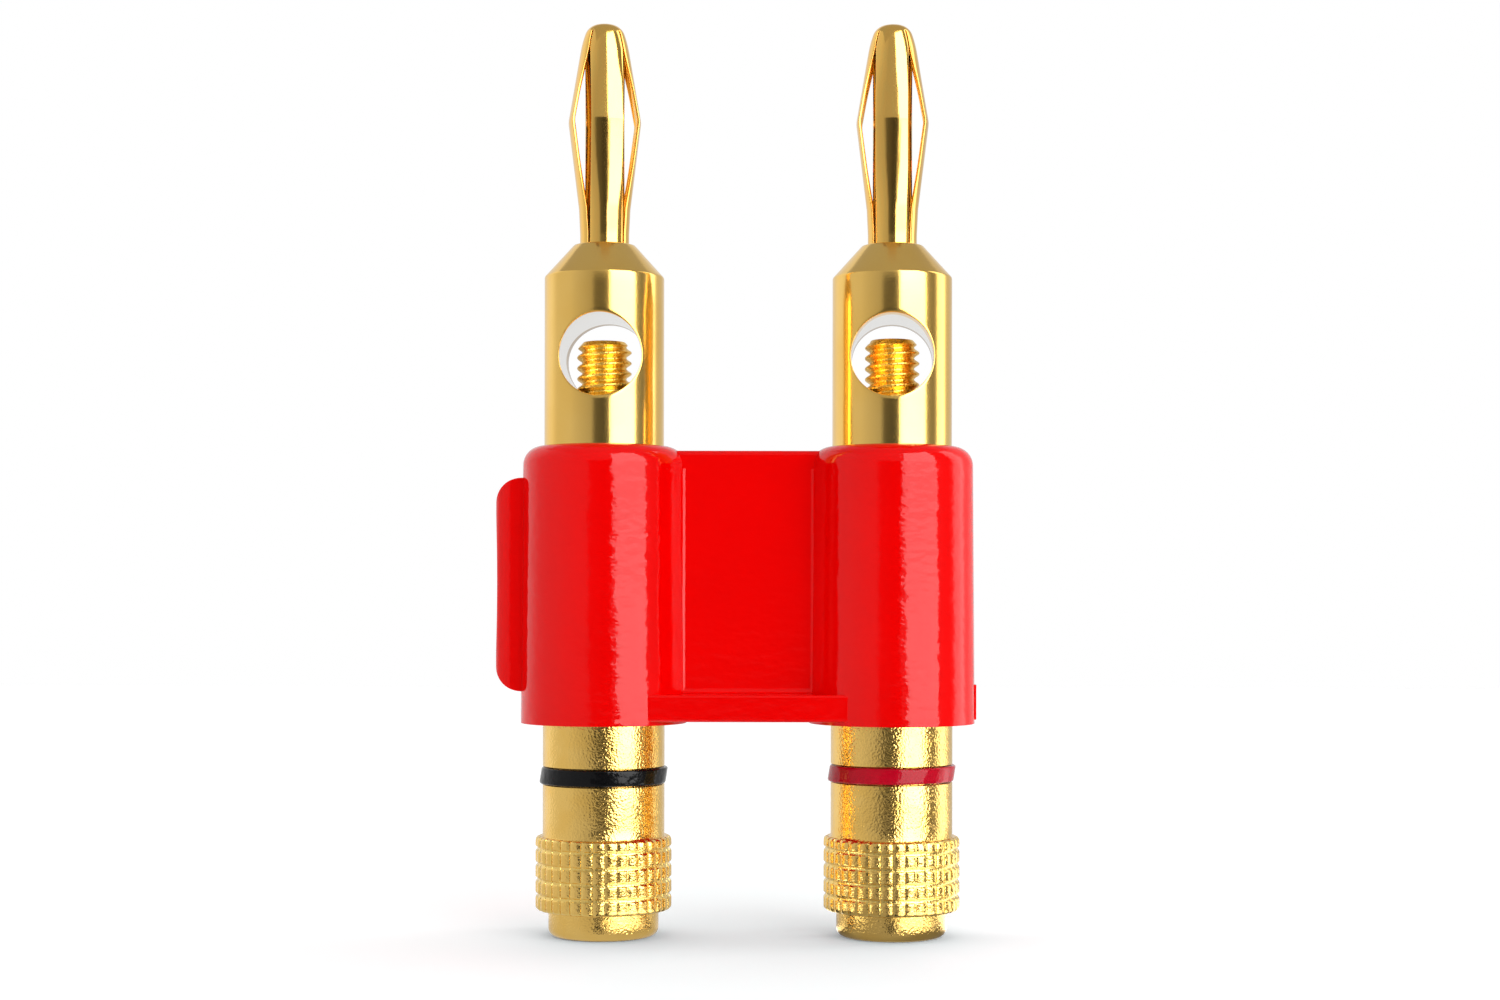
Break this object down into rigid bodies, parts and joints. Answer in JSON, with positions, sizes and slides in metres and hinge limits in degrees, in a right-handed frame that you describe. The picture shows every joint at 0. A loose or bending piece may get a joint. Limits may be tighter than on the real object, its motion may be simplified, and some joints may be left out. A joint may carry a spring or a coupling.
{
  "type": "dual banana plug",
  "caption": "Two spring-leaf banana plugs side by side in one moulded housing, with knurled thumbscrews that clamp wires in cross holes and take further plugs from below.",
  "frame": {"origin": "midway between the two plug axes, in the plane of the thumbscrews' feet", "axes": "+Z along the plugs towards their tips, +X from the plug with the side tab to the other plug, -Y towards the camera"},
  "size_m": [0.0318, 0.011, 0.0602],
  "materials": {
    "housing": "glossy red moulding",
    "polished_gold": "polished gold plating on turned brass",
    "spring_gold": "gold plating on rolled spring sheet",
    "satin_gold": "satin gold plating with a fine grain",
    "black_ring": "black soft plastic",
    "red_ring": "dark red soft plastic"
  },
  "bodies": {
    "plug": {"housing": "housing", "left_body": "polished_gold", "right_body": "polished_gold", "left_spring": "spring_gold", "right_spring": "spring_gold"},
    "left_carrier": {"left_ring": "black_ring"},
    "left_screw": {"left_thumbscrew": "satin_gold"},
    "right_carrier": {"right_ring": "red_ring"},
    "right_screw": {"right_thumbscrew": "satin_gold"}
  },
  "joints": [
    {"name": "left_screw_travel", "type": "slide", "parent": "plug", "child": "left_carrier", "axis": [0, 0, 1], "range_m": [-0.0042, 0.00105]},
    {"name": "left_screw_turn", "type": "hinge", "parent": "left_carrier", "child": "left_screw", "pos_m": [-0.00953, 0, 0], "axis": [0, 0, 1], "range_deg": [-2160, 540]},
    {"name": "right_screw_travel", "type": "slide", "parent": "plug", "child": "right_carrier", "axis": [0, 0, 1], "range_m": [-0.0042, 0.00105]},
    {"name": "right_screw_turn", "type": "hinge", "parent": "right_carrier", "child": "right_screw", "pos_m": [0.00953, 0, 0], "axis": [0, 0, 1], "range_deg": [-2160, 540]}
  ],
  "couplings": [
    {"joint": "left_screw_turn", "follows": "left_screw_travel", "rad_per_m": 8976},
    {"joint": "right_screw_turn", "follows": "right_screw_travel", "rad_per_m": 8976}
  ]
}
